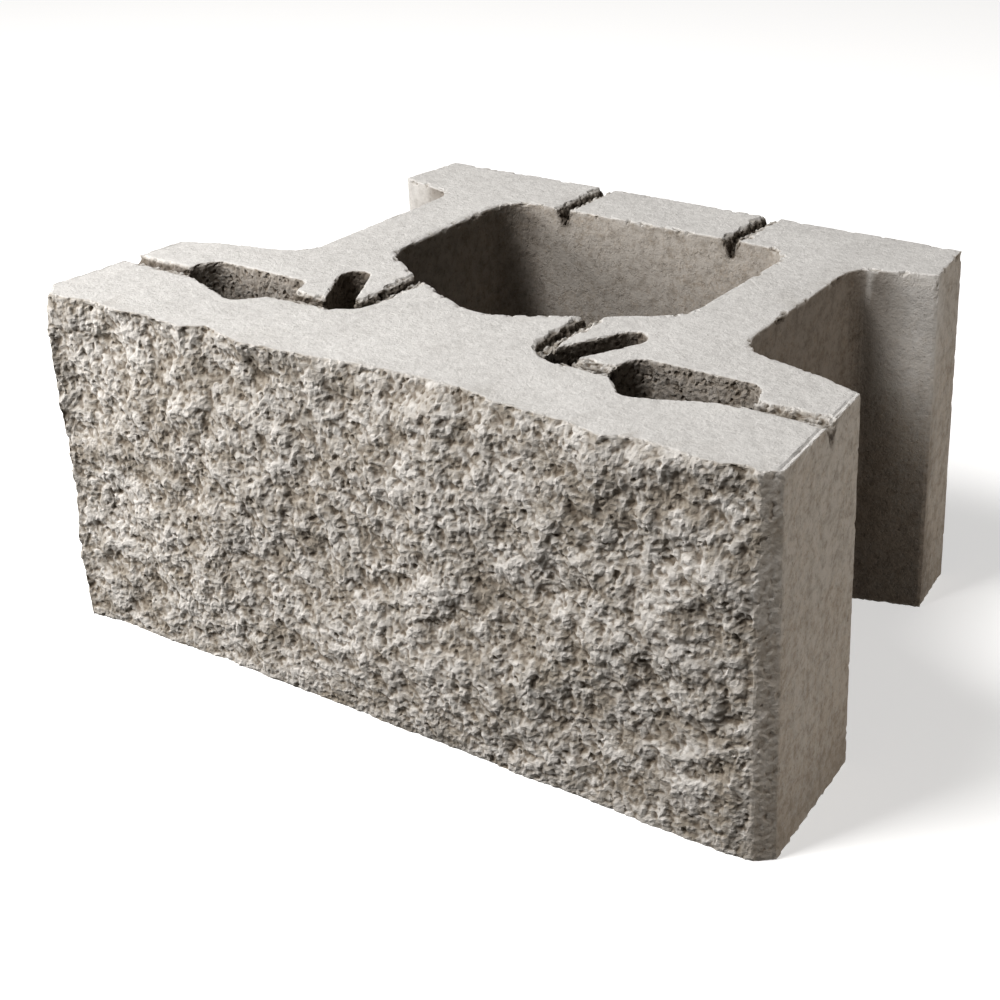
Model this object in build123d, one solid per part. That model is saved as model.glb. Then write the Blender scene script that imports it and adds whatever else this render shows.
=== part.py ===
from build123d import *
from math import cos, radians, sin
from random import Random
import os

# Concrete retaining wall block, 18 by 8 by 12 in, cast in one piece.
# Millimetres. The origin is on the floor under the middle of the block: +X is to the
# right of someone who faces the broken face, -Y is towards that person, +Z is up.

# Overall size
unit_width = 457.2
unit_height = 203.2
unit_depth = 304.8

# Broken face: flat breaks of uneven depth between two moulded corner strips. A reach is
# how far a point stands ahead of the moulded corners.
face_reach = 12.7
left_end_reach = 12.7
right_end_reach = 7.5
face_end_run = 17.0
corner_bevel = 9.0
break_rows = 5
break_depth = 7.0
break_stray = 8.0
break_seed = 13624
foot_fall = 3.0
foot_unevenness = 2.0
rim_drop = 15.0
rim_reaches = (11.5, 11.0, 10.5, 11.5, 8.5, 2.5, 1.0, 6.0, 7.0, 6.0, 7.5)

# Flange behind the face: its ends are drawn in, and its back rises towards the webs
flange_end_length = 88.3
flange_end_draw = 9.7
flange_lip_run = 24.0
flange_lip_rise = 9.2
flange_root_rise = 12.2

# Tail along the back, with an ear past each web
ear_inset = 46.1
ear_length = 44.5
ear_tip_thickness = 42.6
ear_root_flare = 13.0
ear_end_draw = 6.0

# Webs from the flange to the tail
web_thickness = 40.5
web_flare = 3.5
web_front_radius = 26.0
web_back_radius = 12.0

# Central core: its front wall comes forward to a blunt nose
core_back_wall = 47.1
core_nose_setback = 79.5
core_nose_rise = 31.0
core_shoulder_run = 35.5
core_shoulder_rise = 23.2
core_nose_radius = 36.0
core_shoulder_radius = 24.0
core_back_radius = 20.0

# Kidney holes, one each side: the toe is the corner nearest to the face
kidney_half_spacing = 102.5
kidney_end_wall = 45.0
kidney_inner_setback = 53.0
kidney_outer_setback = 56.0
kidney_back_setback = 73.5
kidney_back_inner_run = 4.5
kidney_back_outer_run = 9.0
kidney_toe_setback = 30.5
kidney_toe_run = 22.5
kidney_heel_setback = 48.5
kidney_heel_run = 12.0
kidney_radius = 8.0

# Pin slots, one each side, which lean outwards to the back
slot_width = 16.5
slot_length = 39.0
slot_lean = 28.0
slot_half_spacing = 72.0
slot_setback = 58.3

# Break lines scored in the top
score_width = 10.5
score_depth = 12.0
score_half_spacing = 57.5
score_setback = 53.0
score_turn_radius = 19.0

# Lines that the rest is placed from. A setback is taken from the moulded corner line.
half_width = unit_width / 2
face_line = -unit_depth / 2
corner_line = face_line + face_reach
back_line = unit_depth / 2
ear_tip_reach = half_width - ear_inset
web_outer = ear_tip_reach - ear_length
core_half_width = web_outer - web_thickness
core_back_line = back_line - core_back_wall


def mirrored(points):
    return points + [(-x, y) for x, y in reversed(points)]


def closed_face(points):
    return make_face(Polyline(*points, close=True))


def round_corners(sketch, corners, radius):
    picked = [sketch.vertices().sort_by_distance(Vector(x, y))[0] for x, y in corners]
    return fillet(picked, radius)


def block_outline():
    flange_corner = (half_width - flange_end_draw, corner_line + flange_end_length)
    lip = (flange_corner[0] - flange_lip_run, flange_corner[1] + flange_lip_rise)
    web_root = (web_outer + web_flare, lip[1] + flange_root_rise)
    ear_root = (web_outer, back_line - ear_tip_thickness - ear_root_flare)
    outline = closed_face(mirrored([
        (half_width, corner_line),
        flange_corner,
        lip,
        web_root,
        ear_root,
        (ear_tip_reach, back_line - ear_tip_thickness),
        (ear_tip_reach - ear_end_draw, back_line),
    ]))
    outline = round_corners(outline, mirrored([web_root]), web_front_radius)
    return round_corners(outline, mirrored([ear_root]), web_back_radius)


def break_corners():
    chance = Random(break_seed)
    inner_half = half_width - corner_bevel - face_end_run
    last = len(rim_reaches) - 1
    stations = [inner_half * (2 * column / last - 1) for column in range(last + 1)]
    row_rise = (unit_height - rim_drop) / break_rows
    rows = []
    for row in range(1, break_rows + 1):
        rows.append([
            (x + chance.uniform(-break_stray, break_stray),
             chance.uniform(0, break_depth),
             row * row_rise + chance.uniform(-break_stray, break_stray))
            for x in stations
        ])
    least_fall = min(fall for row in rows for _, fall, _ in row)
    rows = [[(x, face_line + fall - least_fall, z) for x, fall, z in row] for row in rows]
    foot = [(x, face_line + foot_fall + chance.uniform(0, foot_unevenness), 0) for x in stations]
    rows.insert(0, foot)
    rows.append([(x, corner_line - reach, unit_height) for x, reach in zip(stations, rim_reaches)])

    end_x = half_width - corner_bevel
    left_y, right_y = corner_line - left_end_reach, corner_line - right_end_reach
    heights = [row * row_rise for row in range(break_rows + 1)] + [unit_height]
    return [[(-end_x, left_y, z)] + row + [(end_x, right_y, z)] for row, z in zip(rows, heights)]


def broken_face():
    rows = break_corners()
    flats = []
    for row, (low, high) in enumerate(zip(rows, rows[1:])):
        for column in range(len(low) - 1):
            a, b, c, d = low[column], low[column + 1], high[column + 1], high[column]
            flats += [(a, b, c), (a, c, d)] if (row + column) % 2 else [(a, b, d), (b, c, d)]
    for side, end in ((-1, 0), (1, -1)):
        corner_edge = [(side * half_width, corner_line, z) for z in (unit_height, 0)]
        flats.append([row[end] for row in rows] + corner_edge)
    for row, z in ((rows[0], 0), (rows[-1], unit_height)):
        flats.append(row + [(half_width, corner_line, z), (-half_width, corner_line, z)])
    back = mirrored([(half_width, 0), (half_width, unit_height)])
    flats.append([(x, corner_line, z) for x, z in back])
    return Solid(Shell([Face(Wire.make_polygon(flat)) for flat in flats]))


def core_opening():
    nose = (0, corner_line + core_nose_setback)
    bend = (core_half_width - core_shoulder_run, nose[1] + core_nose_rise)
    shoulder = (core_half_width, bend[1] + core_shoulder_rise)
    back_corner = (core_half_width, core_back_line)
    core = closed_face([nose] + mirrored([bend, shoulder, back_corner]))
    core = round_corners(core, [nose], core_nose_radius)
    core = round_corners(core, mirrored([shoulder]), core_shoulder_radius)
    return round_corners(core, mirrored([back_corner]), core_back_radius)


def kidney_hole():
    inner = kidney_half_spacing
    outer = half_width - kidney_end_wall
    kidney = closed_face([
        (inner, corner_line + kidney_inner_setback),
        (inner + kidney_back_inner_run, corner_line + kidney_back_setback),
        (outer - kidney_back_outer_run, corner_line + kidney_back_setback),
        (outer, corner_line + kidney_outer_setback),
        (outer - kidney_heel_run, corner_line + kidney_heel_setback),
        (inner + kidney_toe_run, corner_line + kidney_toe_setback),
    ])
    return fillet(kidney.vertices(), kidney_radius)


def pin_slot():
    middle_x = slot_half_spacing + slot_length / 2 * sin(radians(slot_lean))
    middle_y = corner_line + slot_setback + slot_length / 2 * cos(radians(slot_lean))
    slot = SlotCenterToCenter(slot_length, slot_width, rotation=90 - slot_lean)
    return Pos(middle_x, middle_y) * slot


def score_cut(route):
    above_top = score_depth / 4
    half_flare = score_width / 2 * (1 + above_top / score_depth)
    across = Plane(origin=route @ 0, x_dir=Vector(0, 0, 1).cross(route % 0), z_dir=route % 0)
    notch = across * closed_face([(-half_flare, above_top), (half_flare, above_top), (0, -score_depth)])
    return sweep(notch, path=route)


def front_score():
    turn_y = corner_line + score_setback
    core_front = corner_line + core_nose_setback + core_nose_rise
    route = FilletPolyline(
        (half_width + score_width, turn_y),
        (score_half_spacing, turn_y),
        (score_half_spacing, core_front + score_width),
        radius=score_turn_radius,
    )
    return score_cut(Pos(0, 0, unit_height) * route)


def back_score():
    route = Line(
        (score_half_spacing, core_back_line - score_width),
        (score_half_spacing, back_line + score_width),
    )
    return score_cut(Pos(0, 0, unit_height) * route)


def both_sides(shape):
    return [shape, mirror(shape, about=Plane.YZ)]


def concrete_block():
    plan = block_outline() - core_opening() - both_sides(kidney_hole()) - both_sides(pin_slot())
    block = extrude(plan, amount=unit_height) + broken_face()
    return block - both_sides(front_score()) - both_sides(back_score())


os.makedirs("parts", exist_ok=True)
block = concrete_block()
block.label = "concrete_block"
export_step(block, "parts/concrete_block.step")
print("volume", round(block.volume / 1e6, 2), "litres")
print("size", block.bounding_box().size)
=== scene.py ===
import bmesh
import bpy
import math
import numpy as np
from itertools import product
from mathutils import Matrix, Vector


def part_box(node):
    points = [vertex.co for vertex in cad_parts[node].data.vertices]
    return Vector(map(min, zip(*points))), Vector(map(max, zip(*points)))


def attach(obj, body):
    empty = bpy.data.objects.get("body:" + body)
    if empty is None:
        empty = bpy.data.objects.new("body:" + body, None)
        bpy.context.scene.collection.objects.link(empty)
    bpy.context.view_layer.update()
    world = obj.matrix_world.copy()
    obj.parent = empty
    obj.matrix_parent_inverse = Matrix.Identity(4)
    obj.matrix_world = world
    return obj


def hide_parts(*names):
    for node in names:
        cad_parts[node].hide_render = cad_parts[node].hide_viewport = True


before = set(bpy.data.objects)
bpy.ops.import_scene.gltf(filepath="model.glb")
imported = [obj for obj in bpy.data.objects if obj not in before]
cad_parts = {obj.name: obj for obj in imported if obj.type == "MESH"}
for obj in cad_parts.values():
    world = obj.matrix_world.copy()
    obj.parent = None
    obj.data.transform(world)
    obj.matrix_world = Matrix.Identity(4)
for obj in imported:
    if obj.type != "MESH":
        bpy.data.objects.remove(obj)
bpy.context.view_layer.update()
millimetre = 0.001
blockLow, blockHigh = (np.array(corner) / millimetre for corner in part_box("concrete_block"))
scene = bpy.context.scene
print("frame loaded, the block's size is", (blockHigh - blockLow).round(1), "mm")


# Camera: to the right of the block's front, looking down on it

cameraPlan = {
    "place": (0.5661, -0.7609, 0.5448),         # in metres, the angles in degrees
    "azimuth": 36.25,
    "elevation": 26.79,
    "roll": -2.25,
    "lens": 66.84,
    "sensor": 36.0,
    "shift": (-0.06, 0.005),
}


def makeCamera(plan):
    data = bpy.data.cameras.new("photoCamera")
    data.lens = plan["lens"]
    data.sensor_width = plan["sensor"]
    data.shift_x, data.shift_y = plan["shift"]
    camera = bpy.data.objects.new("photoCamera", data)
    camera.matrix_world = (
        Matrix.Translation(plan["place"])
        @ Matrix.Rotation(math.radians(plan["azimuth"]), 4, "Z")
        @ Matrix.Rotation(math.radians(90 - plan["elevation"]), 4, "X")
        @ Matrix.Rotation(math.radians(plan["roll"]), 4, "Z")
    )
    scene.collection.objects.link(camera)
    scene.camera = camera


makeCamera(cameraPlan)


# Noise at arrays of points, in millimetres. It is worked out from whole numbers, so each run is alike.

stir = {                        # large odd numbers that stir the bits
    "cell": (73856093, 19349663, 83492791),
    "seed": 7919,
    "turn": 104729,
    "first": 2146121005,
    "second": 2221713035,
}


def cellRandom(cells, seed):            # three values from 0 to 1 for each cell
    whole = cells.astype(np.int64).astype(np.uint32) * np.array(stir["cell"], np.uint32)
    mixed = whole[:, 0] ^ whole[:, 1] ^ whole[:, 2]
    columns = []
    for turn in range(3):
        key = mixed + np.array([seed * stir["seed"] + turn * stir["turn"]], np.uint32)
        key = (key ^ (key >> 16)) * np.uint32(stir["first"])
        key = (key ^ (key >> 15)) * np.uint32(stir["second"])
        columns.append((key ^ (key >> 16)) / 2.0 ** 32)
    return np.stack(columns, 1)


def softNoise(points, size, seed):
    scaled = points / size
    base = np.floor(scaled)
    part = scaled - base
    fade = part ** 3 * (part * (part * 6 - 15) + 10)
    total = np.zeros(len(points))
    for corner in product((0, 1), repeat=3):
        corner = np.array(corner)
        slope = cellRandom(base + corner, seed) * 2 - 1
        weight = np.prod(np.where(corner, fade, 1 - fade), axis=1)
        total += weight * np.sum(slope * (part - corner), axis=1)
    return total * 1.5                  # now about -1 to 1


def layeredNoise(points, size, seed, layers=3):
    total = np.zeros(len(points))
    for layer in range(layers):
        total += softNoise(points, size / 2 ** layer, seed + layer) / 2 ** layer
    return total


def swing(points, mean, spread, size, seed):        # soft noise about a mean
    return mean + spread * softNoise(points, size, seed)


def grainField(points, size, seed):
    # Crumbs: the distance to the nearest and to the next, in crumb sizes, and a random value for each crumb
    scaled = points / size
    base = np.floor(scaled)
    nearest = np.full(len(points), np.inf)
    second = nearest.copy()
    value = np.zeros(len(points))
    for step in product((-1, 0, 1), repeat=3):
        cell = base + np.array(step)
        spot = cellRandom(cell, seed)
        gap = np.linalg.norm(cell + spot - scaled, axis=1)
        closer = gap < nearest
        second = np.where(closer, nearest, np.minimum(second, gap))
        value = np.where(closer, spot.sum(1) % 1, value)
        nearest = np.minimum(nearest, gap)
    return nearest, second, value


def ramp(value, start, end):            # 0 before start, 1 past end, smooth between
    share = np.clip((value - start) / (end - start), 0, 1)
    return share * share * (3 - 2 * share)


# Mesh helpers

def readPlaces(mesh):
    flat = np.empty(len(mesh.vertices) * 3, np.float32)
    mesh.vertices.foreach_get("co", flat)
    return flat.reshape(-1, 3).astype(float) / millimetre


def writePlaces(mesh, places):
    mesh.vertices.foreach_set("co", (places * millimetre).astype(np.float32).ravel())
    mesh.update()


def readNormals(mesh):
    flat = np.empty(len(mesh.vertices) * 3, np.float32)
    mesh.vertex_normals.foreach_get("vector", flat)
    return flat.reshape(-1, 3).astype(float)


def readEdges(mesh):
    flat = np.empty(len(mesh.edges) * 2, np.int32)
    mesh.edges.foreach_get("vertices", flat)
    return flat.reshape(-1, 2)


def relaxed(places, edges, rounds):
    first, last = edges.T
    count = np.bincount(edges.ravel(), minlength=len(places))[:, None]
    for _ in range(rounds):
        total = np.stack([
            np.bincount(first, places[last, axis], len(places))
            + np.bincount(last, places[first, axis], len(places))
            for axis in range(places.shape[1])
        ], 1)
        places = places + 0.5 * (total / count - places)
    return places


def finishModifiers(piece):
    view = bpy.context.evaluated_depsgraph_get()
    made = bpy.data.meshes.new_from_object(piece.evaluated_get(view))
    old = piece.data
    piece.modifiers.clear()
    piece.data = made
    bpy.data.meshes.remove(old)


def setAttribute(mesh, name, values):
    layer = mesh.attributes.get(name) or mesh.attributes.new(name, "FLOAT", "POINT")
    layer.data.foreach_set("value", np.asarray(values, np.float32))


def insideBox(places, low, high):
    return np.all((places > low) & (places < high), axis=1)


def inPlan(places):             # |x| and y: the block is alike left and right
    return np.stack([np.abs(places[:, 0]), places[:, 1]], 1)


# The block's skin: the node's shape as an even fine mesh

skin = {
    "voxel": 1.2,
    "mergeWithin": 0.01,
    "triangles": 198000,
    "cornerLine": 12.7,         # the moulded front corners lie this far behind the front
    "softRounds": 26,           # takes the creases out of the face's flat breaks
    "softAhead": (0.5, 3),      # how far ahead of the corners that starts and is full
    "softBelow": (0.5, 6),      # the same below the top and above the floor
    "softFacing": (0.3, 0.6),   # and for how far the skin faces forward
    "sharpEnds": 9,             # the face's ends stay as they are, to here
    "sharpFade": (0, 4),
    "finePlaces": [             # boxes that get a finer mesh: low and high corner in x, y, z
        ((-234, -156, -1), (234, -139, 205)),
        ((-232, -126, 176), (-52, -30, 205)),
        ((52, -126, 176), (232, -30, 205)),
        ((210, -146, 196), (232, -46, 205)),
        ((-70, 98, 180), (-46, 154, 205)),
        ((46, 98, 180), (74, 154, 205)),
    ],
}


def makeSkin(plan):
    shape = bmesh.new()
    shape.from_mesh(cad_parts["concrete_block"].data)
    bmesh.ops.remove_doubles(shape, verts=shape.verts, dist=plan["mergeWithin"] * millimetre)
    mesh = bpy.data.meshes.new("castBlock")
    shape.to_mesh(mesh)
    shape.free()
    block = bpy.data.objects.new("castBlock", mesh)
    scene.collection.objects.link(block)
    remesh = block.modifiers.new("evenSkin", "REMESH")
    remesh.mode = "VOXEL"
    remesh.voxel_size = plan["voxel"] * millimetre
    finishModifiers(block)
    return block


def softenBreaks(mesh, plan):
    places = readPlaces(mesh)
    x, y, z = places.T
    share = ramp(cornerLine - y, *plan["softAhead"])
    share = share * ramp(top - z, *plan["softBelow"]) * ramp(z, *plan["softBelow"])
    fromEnd = blockHigh[0] - plan["sharpEnds"] - np.abs(x)
    share *= ramp(-readNormals(mesh)[:, 1], *plan["softFacing"]) * ramp(fromEnd, *plan["sharpFade"])
    soft = relaxed(places, readEdges(mesh), plan["softRounds"])
    writePlaces(mesh, places + (soft - places) * share[:, None])


def refineSkin(mesh, boxes):
    places = readPlaces(mesh)
    chosen = np.zeros(len(places), bool)
    for low, high in boxes:
        chosen |= insideBox(places, low, high)
    shape = bmesh.new()
    shape.from_mesh(mesh)
    edges = [edge for edge in shape.edges if chosen[edge.verts[0].index] and chosen[edge.verts[1].index]]
    bmesh.ops.subdivide_edges(shape, edges=edges, cuts=1, use_grid_fill=True)
    shape.to_mesh(mesh)
    shape.free()


traceShare = 0.01               # points with a smaller share than this are passed over
faceLine, backLine, top = blockLow[1], blockHigh[1], blockHigh[2]
cornerLine = faceLine + skin["cornerLine"]
block = makeSkin(skin)
softenBreaks(block.data, skin)
refineSkin(block.data, skin["finePlaces"])
print("skin made,", len(block.data.vertices), "points")


# Edges: rounded by wear, with small bites

edgeWear = {
    "rounds": 3,
    "softest": 0.2,
    "hardest": 1.1,
    "wearNoise": (9.0, 3),      # size and seed
    "wearRange": (0.0, 0.8),    # noise below the first gives least wear, above the second most
    "biteRounds": 6,
    "biteReach": (0.01, 0.1),   # how much an edge stands out where bites start and are full
    "biteNoise": (5.0, 5),
    "biteRange": (0.05, 0.8),
    "biteDepth": 1.9,
    "lowBites": 0.3,            # edges below the top are straighter
    "lowBand": (14, 4),         # below the top, from here to here
    "bitten": (0.05, 0.4),      # bites that the material takes as broken
    "waves": (48.0, 7),         # all over the block
    "waveHeight": 0.3,
    "wornLip": ((-106, -8, 190), (-90, 92, 205)),       # the core's left edge is rubbed round
    "wornRounds": 14,
    "wornSwing": (0.6, 0.4, 6.0, 9),        # mean share, spread, size and seed
}


def wearEdges(mesh, plan):
    places = readPlaces(mesh)
    normals = readNormals(mesh)
    edges = readEdges(mesh)
    pull = relaxed(places, edges, plan["rounds"]) - places
    inward = np.clip(-np.sum(pull * normals, 1), 0, None)       # only outer edges are worn
    closeness = ramp(relaxed(inward[:, None], edges, plan["biteRounds"])[:, 0], *plan["biteReach"])
    sharp = np.flatnonzero(closeness > traceShare)
    spots = places[sharp]
    wear = ramp(softNoise(spots, *plan["wearNoise"]), *plan["wearRange"])
    amount = plan["softest"] + plan["hardest"] * wear
    bites = ramp(layeredNoise(spots, *plan["biteNoise"]), *plan["biteRange"]) * closeness[sharp]
    bandLow, bandHigh = top - np.array(plan["lowBand"])
    bites *= plan["lowBites"] + (1 - plan["lowBites"]) * ramp(spots[:, 2], bandLow, bandHigh)
    moved = places.copy()
    moved[sharp] += pull[sharp] * amount[:, None] - normals[sharp] * (bites * plan["biteDepth"])[:, None]

    lip = insideBox(places, *plan["wornLip"])
    smooth = relaxed(moved, edges, plan["wornRounds"])
    moved[lip] += (smooth - moved)[lip] * swing(places[lip], *plan["wornSwing"])[:, None]

    moved += normals * (softNoise(places, *plan["waves"]) * plan["waveHeight"])[:, None]
    writePlaces(mesh, moved)
    bitten = np.zeros(len(places))
    bitten[sharp] = ramp(bites, *plan["bitten"])
    return bitten


edgeMask = wearEdges(block.data, edgeWear)
print("edges worn")


# Crumbs and pits, for the lines, the holes and the split face

crumbs = {
    "warp": (1.3, 0.35),        # their grid is bent: how wide, in crumb sizes, and how much
    "crack": (0.0, 0.3),        # the gap between two crumbs
    "crackDepth": 0.1,
    "steps": 0.35,              # each crumb stands higher or lower
    "uneven": (0.8, 1.1),       # soft noise over them: how wide, in crumb sizes, and how high
    "toneSteps": 0.35,
    "toneUneven": 0.35,
    "toneDome": (0.45, 0.3),    # the middle of a crumb is paler: size of the middle, and share
    "pitRange": 0.6,            # noise this far past a pit's start gives its full depth
}


def dent(mesh, part, weight, size, depth, seed, start):
    places = readPlaces(mesh)
    pits = ramp(layeredNoise(places[part], size, seed), start, start + crumbs["pitRange"]) * weight[part]
    places[part] -= readNormals(mesh)[part] * (pits * depth)[:, None]
    writePlaces(mesh, places)
    return pits


def crumble(mesh, part, weight, plan):
    tone = np.zeros(len(weight))
    run = np.array(plan["grainRun"], float)         # the grains are longer along it
    warpSize, warpShare = crumbs["warp"]
    unevenSize, unevenHeight = crumbs["uneven"]
    domeSize, domeShare = crumbs["toneDome"]
    for size, height, seed in plan["grains"]:
        places = readPlaces(mesh)
        spots = places[part] - (places[part] @ run)[:, None] * run
        warp = np.stack([softNoise(spots, size * warpSize, seed + turn) for turn in (1, 2, 3)], 1)
        nearest, second, value = grainField(spots + warp * size * warpShare, size, seed)
        crack = 1 - ramp(second - nearest, *crumbs["crack"])
        uneven = softNoise(spots, size * unevenSize, seed + 5)
        lump = (value - 0.5) * crumbs["steps"] + (0.5 - nearest)
        lump = lump - crumbs["crackDepth"] * crack + unevenHeight * uneven
        places[part] += readNormals(mesh)[part] * (lump * height * weight[part])[:, None]
        grainTone = crumbs["toneSteps"] * (value - 0.5) + crumbs["toneUneven"] * uneven
        tone[part] += (grainTone + domeShare * (domeSize - nearest)) * weight[part]
        writePlaces(mesh, places)
    return tone


# Score lines in the top: crumbled edges, rubble left in them, and painted shade in their far halves

scoreLine = {
    "spacing": 57.5,            # from the middle of the block to the lines through the core
    "turnAhead": 53.0,          # from the moulded corners to the line across the flange
    "turnRadius": 19.0,
    "turnSteps": 7,
    "coreFront": (57.5, -25.0),
    "coreBack": (57.5, 100.0),
    "past": 5,                  # the lines run this far past the block's outside
    "halfWidth": 5.3,
    "depth": 12.0,
    "belowDepth": 6,            # how far below the groove points are looked at
    "wallReach": 1.6,           # how far beside the groove its walls are taken in
    "wallEdge": (-0.6, 0.6),    # how softly they end beside it,
    "wallTop": (0.2, 1.5),      # below the top,
    "wallFoot": (1, 0, 3),      # and this far below the groove, with this fade
    "rubble": [(57, 0), (66, 5), (104, 6), (150, 4), (229, 3)],     # distance from the middle, height
    "rubbleBelow": (2, 9),      # it lies low in the line,
    "rubbleAhead": (0, 12),     # ahead of where the line has turned
    "rubbleSwing": (0.6, 0.7, 8.0, 77),     # mean share, spread, size and seed
    "rubbleShare": 0.1,         # it lies where the line's own share is more than this
    "facingUp": (0.12, 0.32),   # the walls that rubble lies on
    "raggedNoise": (5.0, 65),   # the rubble's outline is ragged: size and seed
    "raggedWidth": 1.2,
    "raggedHeight": 1.6,
    "bankDrop": 2.4,            # the near half of a line is full of rubble up to this far below the top
    "bankEdge": (-0.8, 0.6),
    "bankTurn": (0, 4),         # behind the line across the flange it follows the lines to the core
    "bankOver": 0.3,            # how far past the groove it reaches
    "bankEnds": (4, 0, 5),      # it ends this far from the block's side, fading over the rest
    "bankGap": (60, 70, 112, 3),        # none by the core's back wall: from y, wholly from y, to y, fade
    "spill": (4.5, 1.4),        # beside a line the top is crumbled: how far and how deep
    "spillSwing": (0.35, 0.9, 8.0, 61),
    "spillDeepSwing": (0.6, 0.7, 3.5, 63),
    "spillEdge": (0, 1.2),
    "spillBelow": (2.5, 0, 2),          # only the top itself, down to the first, fading over the rest
    "spillShare": 0.7,
    "bankShade": 0.85,          # the rubble bank gets little of the painted shade of the line's far half
    "grains": [(4.2, 0.8, 71), (2.4, 0.45, 73)],        # size, height and seed
    "grainRun": (0, 0, 0),
}


def scorePath(plan):
    radius = plan["turnRadius"]
    middle = (plan["spacing"] + radius, cornerLine + plan["turnAhead"] + radius)
    bend = [
        (middle[0] + radius * math.cos(angle), middle[1] + radius * math.sin(angle))
        for angle in np.radians(np.linspace(270, 180, plan["turnSteps"]))
    ]
    front = [(blockHigh[0] + plan["past"], cornerLine + plan["turnAhead"]), *bend, plan["coreFront"]]
    back = [plan["coreBack"], (plan["spacing"], backLine + plan["past"])]
    return front, back


def distanceToPath(spots, path):
    best = np.full(len(spots), np.inf)
    for start, end in zip(path, path[1:]):
        start, run = np.array(start), np.subtract(end, start)
        share = np.clip((spots - start) @ run / (run @ run), 0, 1)
        best = np.minimum(best, np.linalg.norm(spots - start - share[:, None] * run, axis=1))
    return best


def bankOf(spots, facing, gap, uneven, plan):
    # The front half of the lines across the flange, and the right half of those to and from the core
    flat = inPlan(spots)
    acrossLine = flat[:, 1] - cornerLine - plan["turnAhead"]
    besideLine = spots[:, 0] - np.sign(spots[:, 0]) * plan["spacing"]
    ragged = plan["raggedWidth"] * uneven
    rightHalf = ramp(besideLine + ragged, *plan["bankEdge"]) * ramp(acrossLine, *plan["bankTurn"])
    frontHalf = ramp(ragged - acrossLine, *plan["bankEdge"])
    margin, *endFade = plan["bankEnds"]
    gapStart, gapFull, gapEnd, gapFade = plan["bankGap"]
    inCore = ramp(flat[:, 1], gapStart, gapFull) * ramp(gapEnd - flat[:, 1], 0, gapFade)
    clear = ramp(blockHigh[0] - margin - flat[:, 0], *endFade) * (1 - inCore)
    inGroove = gap < plan["halfWidth"] + plan["bankOver"]
    return np.maximum(rightHalf, frontHalf) * clear * inGroove * (facing > plan["facingUp"][0])


def roughenLines(mesh, plan):
    places = readPlaces(mesh)
    near = np.flatnonzero(places[:, 2] > top - plan["depth"] - plan["belowDepth"])
    spots = places[near]
    facing = readNormals(mesh)[near, 2]
    flat = inPlan(spots)
    gap = np.minimum(*[distanceToPath(flat, path) for path in scorePath(plan)])
    below = top - spots[:, 2]
    reach = plan["halfWidth"] * np.clip(1 - below / plan["depth"], 0, 1) + plan["wallReach"]
    inLine = ramp(reach - gap, *plan["wallEdge"]) * ramp(below, *plan["wallTop"])
    footBelow, *footFade = plan["wallFoot"]
    inLine = inLine * ramp(plan["depth"] + footBelow - below, *footFade)

    # Rubble along the foot of a line, and a bank of it that fills the near half
    fromMiddle, height = np.array(plan["rubble"], float).T
    ahead = ramp(cornerLine + plan["turnAhead"] + plan["turnRadius"] - flat[:, 1], *plan["rubbleAhead"])
    fill = np.interp(flat[:, 0], fromMiddle, height) * ramp(below, *plan["rubbleBelow"]) * ahead
    fill *= ramp(facing, *plan["facingUp"]) * (inLine > plan["rubbleShare"])
    rise = fill * swing(spots, *plan["rubbleSwing"])
    uneven = softNoise(spots, *plan["raggedNoise"])
    bank = bankOf(spots, facing, gap, uneven, plan)
    level = below - plan["bankDrop"] - plan["raggedHeight"] * uneven
    rise = np.maximum(rise, bank * np.clip(level, 0, None))

    # Crumbled edges beside it
    width, depth = plan["spill"]
    width = width * swing(spots, *plan["spillSwing"])
    spillTop, *spillFade = plan["spillBelow"]
    beside = ramp(plan["halfWidth"] + width - gap, *plan["spillEdge"]) * ramp(spillTop - below, *spillFade)
    places[near, 2] += rise - beside * depth * swing(spots, *plan["spillDeepSwing"])
    writePlaces(mesh, places)

    weight = np.zeros(len(places))
    weight[near] = np.maximum(inLine, plan["spillShare"] * beside)
    tone = crumble(mesh, np.flatnonzero(weight > 2 * traceShare), weight, plan)
    # Painted shade in the line's far half, little on the bank
    shade = np.zeros(len(places))
    shade[near] = inLine * (1 - plan["bankShade"] * bank)
    return weight, tone, shade


lineMask, lineTone, paintedLineShade = roughenLines(block.data, scoreLine)
print("score lines roughened")


# Walls of the kidney holes and pin slots: pits and grain. The core's are nearly smooth.

holeWalls = {
    "holes": [                  # box in |x| and y, and how rough: core, kidney hole, pin slot
        ((0, -66), (99.5, 107), 0.1),
        ((97, -112), (188, -62), 1.0),
        ((60, -92), (106, -38), 0.8),
    ],
    "upright": (0.4, 0.8),      # walls end where the skin faces up by this much
    "pits": (3.4, 0.9, 85, 0.15),       # size, depth, seed, and how few they are
    # painted shade in the pits
    "pitShade": 0.7,
    "grains": [(2.4, 0.35, 81)],
    "grainRun": (0, 0, 0),
}


def roughenHoles(mesh, plan):
    places = readPlaces(mesh)
    flat = inPlan(places)
    upright = 1 - ramp(np.abs(readNormals(mesh)[:, 2]), *plan["upright"])
    weight = np.zeros(len(places))
    for low, high, amount in plan["holes"]:
        inside = insideBox(flat, low, high)
        weight[inside] = amount * upright[inside]
    part = np.flatnonzero(weight > 2 * traceShare)
    pits = dent(mesh, part, weight, *plan["pits"])
    tone = crumble(mesh, part, weight, plan)
    # painted shade in the pits
    tone[part] -= plan["pitShade"] * pits
    return weight, tone


holeMask, holeTone = roughenHoles(block.data, holeWalls)
print("holes roughened")


# Burr: concrete squeezed up along the flange's outer top edges

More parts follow.
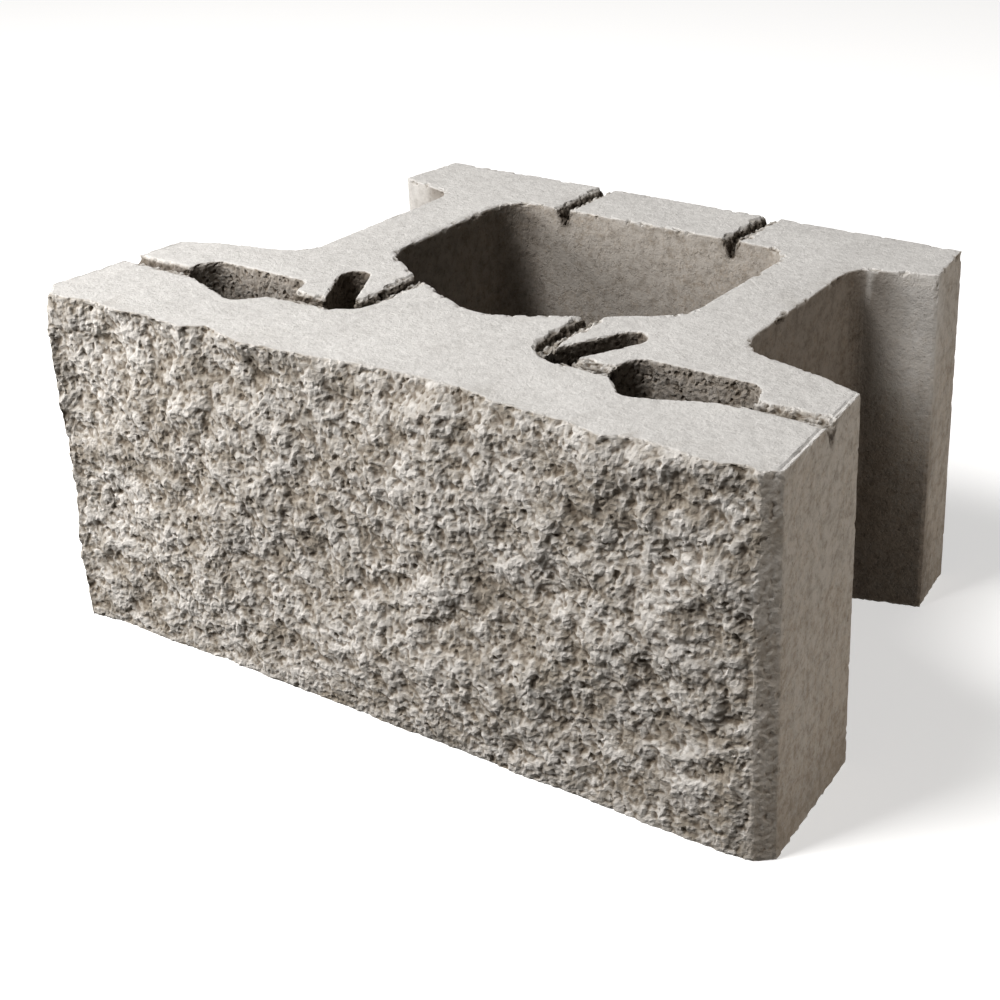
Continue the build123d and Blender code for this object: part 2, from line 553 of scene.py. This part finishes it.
burr = {
    "sideDraw": 9.7,            # the flange's ends are drawn in by this much
    "sideLength": 88.3,         # over this length
    "startFade": (-3, 2),       # about the moulded corners
    "endFade": (-1, 3),
    "below": 2.5,               # only points this near to the top are moved
    "facingUp": 0.2,
    "inside": 8,                # and this near to the edge
    "ridge": (0.8, 0.5),        # width and height
    "groove": (2.4, 0.7, 1.3),          # how far in, width and depth
    "coarseSwing": (0.75, 0.7, 13.0, 91),
    "fineSpread": 0.35,
    "fineNoise": (4.0, 92),
    "most": 1.5,
    "rightShare": 1.0,
    "leftShare": 0.35,
}


def raiseBurr(mesh, plan):
    places = readPlaces(mesh)
    normals = readNormals(mesh)
    x, y, z = places.T
    inward = blockHigh[0] - np.abs(x) - (y - cornerLine) * plan["sideDraw"] / plan["sideLength"]
    along = ramp(y, *(cornerLine + np.array(plan["startFade"])))
    along = along * ramp(cornerLine + plan["sideLength"] - y, *plan["endFade"])
    atTop = (z > top - plan["below"]) & (normals[:, 2] > plan["facingUp"])
    part = np.flatnonzero(atTop & (inward < plan["inside"]) & (along > 0))
    spots = places[part]
    uneven = swing(spots, *plan["coarseSwing"]) + plan["fineSpread"] * softNoise(spots, *plan["fineNoise"])
    width, height = plan["ridge"]
    middle, grooveWidth, depth = plan["groove"]
    lift = height * np.exp(-(inward[part] / width) ** 2)
    lift -= depth * np.exp(-((inward[part] - middle) / grooveWidth) ** 2)
    side = np.where(spots[:, 0] > 0, plan["rightShare"], plan["leftShare"])
    places[part, 2] += lift * side * along[part] * np.clip(uneven, 0, plan["most"])
    writePlaces(mesh, places)


raiseBurr(block.data, burr)
print("burr raised")


# The split face: where concrete was broken off, from side to side and from top to underside

splitFace = {
    "rimPoints": [              # how far ahead of the corners the top rim stands, along the block
        (-226, 10), (-218, 13.5), (-206, 12.5), (-190, 9), (-166, 12), (-150, 9), (-121, 11.5), (-109, 4.5),
        (-80, 12), (-45, 9), (-8, 2.8), (30, 0.4), (56, 0.3), (78, 6), (96, 7), (118, 6.2), (140, 11),
        (154, 5), (200, 8.3), (212, 4), (222, 8),
    ],
    "rimDepth": 15.0,           # the rim's setback dies out over this depth
    "stretch": 34.0,            # the flange behind the face gives way over this depth
    "stretchFull": 3,           # wholly, down to this depth
    "rightEdge": (217.5, 222.0),        # where the broken part ends, at the underside and at the top
    "leftEdge": (231.0, 221.0),
    "endFade": (-2, 6),         # inside those edges
    "leftSpread": [             # the left end stands out to the side: height, distance
        (0, 6.5), (37, 8.5), (90, 3.5), (140, 3.0), (181, 3.5), (203, -1),
    ],
    "spreadNoise": (17.0, 31),
    "spreadUneven": 1.2,
    "spreadFrom": (196, 219),   # from here to here, along the block
    "spreadAhead": (0, 11),     # and ahead of the corners
    "swell": [(46.0, 1.4, 23), (21.0, 2.1, 37), (10.0, 1.3, 39)],       # size, height and seed
    "swellLayers": 2,
    "calmTop": (-2, 14),        # less swell at the top and at the foot
    "calmFoot": (-2, 12),
    "calmest": 0.25,
    "facing": (0.05, 0.5),      # broken where the skin faces forward by this much
    "raggedNoise": (6.0, 29),   # the broken part ends unevenly
    "raggedWidth": 1.3,
    "raggedFade": (0, 1.5),
    "behind": (0.3, -3, 1),     # and it ends by the corners: how far ahead, and the fade
    "grains": [(4.8, 0.52, 53), (2.6, 0.38, 67)],
    "grainRun": (0.3, 0, 0.3),
    "pits": (6.0, 1.1, 43, 0.35),
    "stripShare": 0.55,         # how far the moulded corner strips are rough as well
    "swellTone": 0.11,          # painted shade and dirt: what lies deeper is darker
    # painted shade in the pits
    "pitShade": 0.25,
}


def rimOf(mesh, x):             # how far the node's own rim stands ahead of the corners
    nearTop, aheadOfCorners = 0.01, 0.5
    places = readPlaces(mesh)
    rim = places[(places[:, 2] > top - nearTop) & (places[:, 1] < cornerLine - aheadOfCorners)]
    rim = rim[np.argsort(rim[:, 0])]
    return np.interp(x, rim[:, 0], cornerLine - rim[:, 1])


def breakFace(mesh, plan):
    places = readPlaces(mesh)
    near = np.flatnonzero(places[:, 1] < faceLine + plan["stretch"])
    x, y, z = places[near].T
    flat = np.stack([x, np.full(len(x), faceLine), z], 1)

    rimX, rimReach = np.array(plan["rimPoints"], float).T
    setback = rimOf(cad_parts["concrete_block"].data, x) - np.interp(x, rimX, rimReach)
    setback = setback * np.exp(-(top - z) / plan["rimDepth"])
    calm = np.minimum(ramp(top - z, *plan["calmTop"]), ramp(z, *plan["calmFoot"]))
    calm = calm * (1 - plan["calmest"]) + plan["calmest"]
    swell = np.zeros(len(x))
    for size, height, seed in plan["swell"]:
        swell += layeredNoise(flat, size, seed, plan["swellLayers"]) * height * calm
    give = ramp(faceLine + plan["stretch"] - y, 0, plan["stretch"] - plan["stretchFull"])
    rightEdge = np.interp(z, (0, top), plan["rightEdge"])
    leftEdge = np.interp(z, (0, top), plan["leftEdge"])
    inside = np.where(x > 0, rightEdge, leftEdge) - np.abs(x)
    places[near, 1] += (setback + swell) * give * ramp(inside, *plan["endFade"])
    spreadZ, spread = np.array(plan["leftSpread"], float).T
    outward = np.interp(z, spreadZ, spread) + plan["spreadUneven"] * softNoise(flat, *plan["spreadNoise"])
    places[near, 0] -= outward * ramp(-x, *plan["spreadFrom"]) * ramp(cornerLine - y, *plan["spreadAhead"])
    writePlaces(mesh, places)

    tilt = ramp(-readNormals(mesh)[near, 1], *plan["facing"])
    ragged = softNoise(flat, *plan["raggedNoise"]) * plan["raggedWidth"]
    extent = np.maximum(ramp(inside + ragged, *plan["raggedFade"]), plan["stripShare"])
    margin, *cornerFade = plan["behind"]
    broken = np.zeros(len(places))
    broken[near] = tilt * extent * ramp(cornerLine - margin - places[near, 1], *cornerFade)
    part = np.flatnonzero(broken > traceShare)
    pits = dent(mesh, part, broken, *plan["pits"])
    tone = crumble(mesh, part, broken, plan)
    # painted shade and dirt in the deeper parts of the face, and painted shade in the pits
    tone[near] -= plan["swellTone"] * swell * broken[near]
    tone[part] -= plan["pitShade"] * pits
    return broken, tone


faceMask, faceTone = breakFace(block.data, splitFace)
print("split face broken")


# Limits of the finished shape, and the masks that the material reads

masks = {
    "aboveTop": 1.2,            # nothing reaches further above the top, or below the floor
    "holes": 0.55,              # how far the holes' walls look broken,
    "edges": 0.8,               # and how far bitten edges do
    "edgeTone": 0.5,            # bitten edges are darker
}


def stayInPlace(mesh, most):
    places = readPlaces(mesh)
    places[:, 2] = np.clip(places[:, 2], 0, top + most)
    writePlaces(mesh, places)


def noteMasks(mesh, plan):
    broken = [faceMask, lineMask, plan["holes"] * holeMask, plan["edges"] * edgeMask]
    setAttribute(mesh, "broken", np.maximum.reduce(broken))
    # tone: a random tone for each grain, darker bitten edges, and painted shade in pits and deeper parts of
    # the face
    setAttribute(mesh, "tone", faceTone + lineTone + holeTone - plan["edgeTone"] * edgeMask)
    # painted shade in the score lines, none on the split face
    setAttribute(mesh, "paintedScoreShade", paintedLineShade * (1 - faceMask))


stayInPlace(block.data, masks["aboveTop"])
noteMasks(block.data, masks)
print("masks noted at", len(block.data.vertices), "points")


# Fewer triangles where the surface is plain

def thin(block, target):
    mesh = block.data
    mesh.calc_loop_triangles()
    count = len(mesh.loop_triangles)
    print("triangles before thinning", count)
    lighter = block.modifiers.new("thinner", "DECIMATE")
    lighter.ratio = min(1.0, target / count)
    lighter.use_collapse_triangulate = True
    finishModifiers(block)
    print("triangles after", len(block.data.polygons))


thin(block, skin["triangles"])


# What the material needs to know at each point

hollows = {
    "scales": [(2, 0.3), (9, 0.9)],     # rounds of smoothing, and the depth that counts as full
    "upright": (0.35, 0.8),     # a face that leans up by less than the first is upright, past the second not
}

# Painted shade on upright walls of the core, holes and recesses, where shade falls, with the darkening of
# walls that the mould dragged: box in |x| and y, share, blur
dragAndPaintedShade = {
    "kidney": ((95, -114), (190, -60), 0.6, 3),
    "slot": ((58, -94), (108, -36), 0.9, 3),
    "core": ((-3, -68), (101, 109), 0.38, 2),
    "web": ((112, -60), (170, 122), 0.95, 18),
    "ear": ((140, 60), (200, 118), 0.75, 8),
    "earShadeDepth": (40, 130),      # painted shade on the ear's front low down only, and painted light above it
    # painted light: how much of the upright tint the ear front's lit upper part loses
    "earPaintedLight": 0.7,
    "coreShade": (58, 94, 0.35),        # more painted shade on the core's left wall, which lies in shadow: from -x, to -x, share
}


def noteHollows(mesh, plan):    # hollows are above 0, crests below
    places = readPlaces(mesh)
    normals = readNormals(mesh)
    edges = readEdges(mesh)
    hollow = np.zeros(len(places))
    for rounds, depth in plan["scales"]:
        rise = np.sum((relaxed(places, edges, rounds) - places) * normals, 1)
        hollow += np.clip(rise / depth, -1, 1) / len(plan["scales"])
    setAttribute(mesh, "hollow", hollow)
    return 1 - ramp(np.abs(normals[:, 2]), *plan["upright"])


# Painted shade on the walls of the core, holes and recesses, with the darkening of walls that the mould
# dragged
def noteDragAndPaintedShade(mesh, upright, plan):
    places = readPlaces(mesh)
    flat = inPlan(places)
    share = np.zeros(len(places))
    for name in ("kidney", "slot", "core", "web", "ear"):
        low, high, amount, blur = plan[name]
        inside = ramp(np.minimum(flat - low, high - flat).min(axis=1), 0, blur)
        # On the ear's front: painted shade low down, and painted light above by taking the upright tint off
        if name == "ear":
            dark = ramp(top - places[:, 2], *plan["earShadeDepth"])
            setAttribute(mesh, "upright", upright * (1 - plan["earPaintedLight"] * inside * (1 - dark)))
            inside *= dark
        share = np.maximum(share, amount * inside)
    # more painted shade on the core's left wall
    start, full, extra = plan["coreShade"]
    inCore = insideBox(flat, *plan["core"][:2])
    share += extra * inCore * ramp(-places[:, 0], start, full)
    setAttribute(mesh, "dragAndPaintedShade", share * upright)


noteDragAndPaintedShade(block.data, noteHollows(block.data, hollows), dragAndPaintedShade)
print("hollows and dragged walls noted")


# Concrete

concrete = {
    "pale": (0.69, 0.677, 0.658, 1),
    "dull": (0.50, 0.488, 0.472, 1),
    "sideTint": (0.84, 0.80, 0.755, 1),
    # real stains, and painted shade along the foot
    "stainAndFootShadeTint": (0.62, 0.59, 0.55, 1),
    # painted shade for the core, holes and recesses, with the darker walls the mould dragged
    "shadeAndDragTint": (0.40, 0.37, 0.34, 1),
    # painted shade in the score lines
    "scoreShadeTint": (0.36, 0.33, 0.30, 1),
    "fleckTint": (0.42, 0.39, 0.35, 1),
    "speck": (0.30, 0.28, 0.255, 1),
    "stoneDark": (0.245, 0.213, 0.172, 1),
    "stonePale": (0.57, 0.549, 0.522, 1),
    # dirt and painted shade in hollows
    "hollowDirtAndShadeTint": (0.33, 0.275, 0.22, 1),
    "roughness": 0.94,
    "shine": 0.2,
    # Noises: size in millimetres, detail, roughness
    "cloud": (48, 3),
    "mottle": (5, 2),
    "sand": (1.7, 2, 0.6),
    "streak": (3.0, 3, 0.6),
    "streakRise": 0.06,         # streaks are drawn out upwards
    "stain": (7, 5, 0.75),
    "fleck": (2.8, 3, 0.7),
    "blotch": (17, 2),
    "chipSize": 2.4,
    # Ranges: a value from the first to the second gives none to all, or the third to the fourth
    "midNoise": (0.3, 0.7),
    "specks": (0.64, 0.76, 0, 0.6),
    "darkerLow": (0.0, 0.2, 0.6, -0.2),          # darker towards the bottom, by height in metres
    "streaks": (0.35, 0.75),
    "stains": (0.45, 0.68),
    "footShade": (0.0, 0.05, 0.7, 0.0),        # painted shade along the foot, by height in metres
    "flecks": (0.55, 0.68),
    "stones": (0.3, 0.9),
    "hollowDirtAndShade": (0.0, 0.8),
    "brokenDirtAndShade": (0.0, 0.6, 0.25, 0.8),
    "crumbs": (0.0, 0.7, 1, 0),
    # Mixes: the weight of each part
    "cementMix": (0.3, 0.5, 0.3),               # cloud, mottle, sand
    "grimeMix": (0.6, 3.0, 3.5, 3.0, 1.0, -4.75),       # streak, mottle, sand, cloud, low down, always
    "fleckMix": (0.25, 1.6, 0.12),              # on upright faces, in holes, everywhere
    "stoneMix": (0.8, 0.08, 0.2, 0.45, 0.5),    # tone, chip, sand, blotch, cloud
    "stoneShare": 0.85,
    "brokenRelief": (0.2, 0.08),                # in millimetres: sand, crumbs
    "relief": (0.35, 0.35, -0.15, -0.4),        # in millimetres: sand, mottle, stain, fleck
}


def addNode(tree, kind, inputs, **settings):
    node = tree.nodes.new("ShaderNode" + kind)
    for key, value in settings.items():
        setattr(node, key, value)
    for key, value in inputs.items():
        if isinstance(value, bpy.types.NodeSocket):
            tree.links.new(value, node.inputs[key])
        else:
            node.inputs[key].default_value = value
    return node


def addMath(tree, operation, *values):
    return addNode(tree, "Math", dict(enumerate(values)), operation=operation).outputs[0]


def weighted(tree, values, weights):
    total = 0.0
    for value, weight in zip(values, weights, strict=True):
        total = addMath(tree, "MULTIPLY_ADD", value, weight, total)
    return total


def noiseAt(tree, place, size, detail, roughness=0.5):
    inputs = {"Vector": place, "Scale": 1 / (size * millimetre), "Detail": detail, "Roughness": roughness}
    return addNode(tree, "TexNoise", inputs).outputs["Fac"]


def attributeOf(tree, name):
    return addNode(tree, "Attribute", {}, attribute_name=name).outputs["Fac"]


def spreadOut(tree, value, low, high, toLow=0.0, toHigh=1.0):
    return addNode(tree, "MapRange", {0: value, 1: low, 2: high, 3: toLow, 4: toHigh}).outputs[0]


def mixColours(tree, share, first, second):
    return addNode(tree, "Mix", {0: share, 6: first, 7: second}, data_type="RGBA").outputs[2]


def tinted(tree, share, colour, tint):
    inputs = {0: share, 6: colour, 7: tint}
    return addNode(tree, "Mix", inputs, data_type="RGBA", blend_type="MULTIPLY").outputs[2]


def makeConcrete(plan):
    material = bpy.data.materials.new("castConcrete")
    material.use_nodes = True
    tree = material.node_tree
    place = addNode(tree, "TexCoord", {}).outputs["Object"]
    names = ("broken", "tone", "paintedScoreShade", "hollow", "upright", "dragAndPaintedShade")
    broken, tone, paintedScoreShade, hollow, upright, shadeAndDragShare = (attributeOf(tree, name) for name in names)

    # Cement: cloudy and mottled, with fine sand and dark specks in it
    cloud, mottle, sand = (noiseAt(tree, place, *plan[name]) for name in ("cloud", "mottle", "sand"))
    spread = [spreadOut(tree, noise, *plan["midNoise"]) for noise in (cloud, mottle, sand)]
    colour = mixColours(tree, weighted(tree, spread, plan["cementMix"]), plan["dull"], plan["pale"])
    colour = mixColours(tree, spreadOut(tree, sand, *plan["specks"]), colour, plan["speck"])

    # Upright faces: rougher, with drag streaks, darker low down, stains with painted shade along the foot,
    # and more dark flecks in the holes; painted shade in the core, holes and recesses comes below
    stretch = addNode(tree, "Mapping", {"Vector": place, "Scale": (1, 1, plan["streakRise"])}).outputs[0]
    streak = spreadOut(tree, noiseAt(tree, stretch, *plan["streak"]), *plan["streaks"])
    height = addNode(tree, "SeparateXYZ", {0: place}).outputs["Z"]
    low = spreadOut(tree, height, *plan["darkerLow"])
    grime = weighted(tree, (streak, mottle, sand, cloud, low, 1.0), plan["grimeMix"])
    stain = spreadOut(tree, noiseAt(tree, place, *plan["stain"]), *plan["stains"])
    # painted shade along the foot, added to the stains
    foot = spreadOut(tree, height, *plan["footShade"])
    stainAndFootShade = addMath(tree, "MINIMUM", addMath(tree, "ADD", stain, foot), 1.0)
    colour = tinted(tree, addMath(tree, "MULTIPLY", upright, stainAndFootShade), colour, plan["stainAndFootShadeTint"])
    inHoles = addMath(tree, "MULTIPLY", broken, shadeAndDragShare)
    fleckShare = weighted(tree, (upright, inHoles, 1.0), plan["fleckMix"])
    fleck = spreadOut(tree, noiseAt(tree, place, *plan["fleck"]), *plan["flecks"])
    fleck = addMath(tree, "MULTIPLY", fleck, fleckShare)
    colour = tinted(tree, fleck, colour, plan["fleckTint"])
    colour = tinted(tree, upright, colour, plan["sideTint"])
    colour = tinted(tree, addMath(tree, "MULTIPLY", upright, grime), colour, plan["sideTint"])

    # Broken concrete: a tone for each grain, and dirt and painted shade in the hollows. Also painted shade
    # in the core, holes, recesses and score lines
    chip = addNode(tree, "TexVoronoi", {"Vector": place, "Scale": 1 / (plan["chipSize"] * millimetre)})
    blotch = spreadOut(tree, noiseAt(tree, place, *plan["blotch"]), *plan["midNoise"])
    stoneTone = weighted(tree, (tone, chip.outputs["Color"], sand, blotch, cloud), plan["stoneMix"])
    stoneTone = spreadOut(tree, stoneTone, *plan["stones"])
    stone = mixColours(tree, stoneTone, plan["stoneDark"], plan["stonePale"])
    colour = mixColours(tree, addMath(tree, "MULTIPLY", broken, plan["stoneShare"]), colour, stone)
    # painted shade in the core, holes and recesses, with the darker walls the mould dragged
    colour = tinted(tree, shadeAndDragShare, colour, plan["shadeAndDragTint"])
    # painted shade in the score lines' far halves
    colour = tinted(tree, paintedScoreShade, colour, plan["scoreShadeTint"])
    # dirt and painted shade in the hollows of broken concrete
    dirtAndShade = spreadOut(tree, broken, *plan["brokenDirtAndShade"])
    dirtAndShade = addMath(tree, "MULTIPLY", spreadOut(tree, hollow, *plan["hollowDirtAndShade"]), dirtAndShade)
    colour = tinted(tree, dirtAndShade, colour, plan["hollowDirtAndShadeTint"])

    # Relief too fine for the mesh, in millimetres
    crumb = spreadOut(tree, chip.outputs["Distance"], *plan["crumbs"])
    brokenRelief = weighted(tree, (sand, crumb), plan["brokenRelief"])
    brokenRelief = addMath(tree, "MULTIPLY", broken, brokenRelief)
    relief = weighted(tree, (sand, mottle, stain, fleck), plan["relief"])
    relief = addMath(tree, "ADD", brokenRelief, relief)
    bump = addNode(tree, "Bump", {"Strength": 1.0, "Distance": millimetre, "Height": relief}).outputs[0]

    shader = tree.nodes["Principled BSDF"]
    tree.links.new(bump, shader.inputs["Normal"])
    tree.links.new(colour, shader.inputs["Base Color"])
    shader.inputs["Roughness"].default_value = plan["roughness"]
    shader.inputs["Specular IOR Level"].default_value = plan["shine"]
    return material


block.data.materials.clear()
block.data.materials.append(makeConcrete(concrete))
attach(block, "root")
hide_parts("concrete_block")
print("block finished")


# Studio: pale floor and soft light

studio = {
    "floorSize": 12.0,
    "floorColour": (0.9, 0.9, 0.9, 1),
    "floorRoughness": 0.8,
    "floorGlow": 0.55,
    "world": (1.0, 0.93, 0.84),
    "worldStrength": 0.07,
    "aim": (0, 0, 0.1),         # the lamps point at the block's middle
    "lamps": [                  # name, place, width, height, watts, colour
        ("keyLamp", (-0.86, -1.38, 2.50), 1.05, 1.05, 87, (1.0, 0.985, 0.97)),
        ("leftLamp", (-0.77, -0.62, 0.42), 0.35, 0.35, 9.0, (1.0, 0.985, 0.965)),
        ("rightLamp", (1.60, 0.22, 0.105), 0.6, 0.16, 7.9, (1.0, 0.93, 0.85)),
    ],
}


def makeStudio(plan):
    shape = bmesh.new()
    bmesh.ops.create_grid(shape, x_segments=1, y_segments=1, size=plan["floorSize"] / 2)
    mesh = bpy.data.meshes.new("floor")
    shape.to_mesh(mesh)
    shape.free()
    floor = bpy.data.objects.new("floor", mesh)
    scene.collection.objects.link(floor)
    material = bpy.data.materials.new("floorPaint")
    material.use_nodes = True
    shader = material.node_tree.nodes["Principled BSDF"]
    shader.inputs["Base Color"].default_value = plan["floorColour"]
    shader.inputs["Roughness"].default_value = plan["floorRoughness"]
    shader.inputs["Emission Color"].default_value = (1, 1, 1, 1)
    shader.inputs["Emission Strength"].default_value = plan["floorGlow"]
    mesh.materials.append(material)
    floor.visible_diffuse = False       # no light thrown up at the block

    world = bpy.data.worlds.new("studio")
    world.use_nodes = True
    back = world.node_tree.nodes["Background"]
    back.inputs["Color"].default_value = (*plan["world"], 1)
    back.inputs["Strength"].default_value = plan["worldStrength"]
    scene.world = world

    aim = Vector(plan["aim"])
    for name, place, width, height, watts, colour in plan["lamps"]:
        lamp = bpy.data.lights.new(name, "AREA")
        lamp.shape = "RECTANGLE"
        lamp.size, lamp.size_y = width, height
        lamp.energy = watts
        lamp.color = colour
        holder = bpy.data.objects.new(name, lamp)
        holder.location = place
        holder.visible_camera = False
        holder.rotation_mode = "QUATERNION"
        holder.rotation_quaternion = (aim - Vector(place)).to_track_quat("-Z", "Y")
        scene.collection.objects.link(holder)


makeStudio(studio)
scene.view_settings.view_transform = "Standard"
print("studio lit")
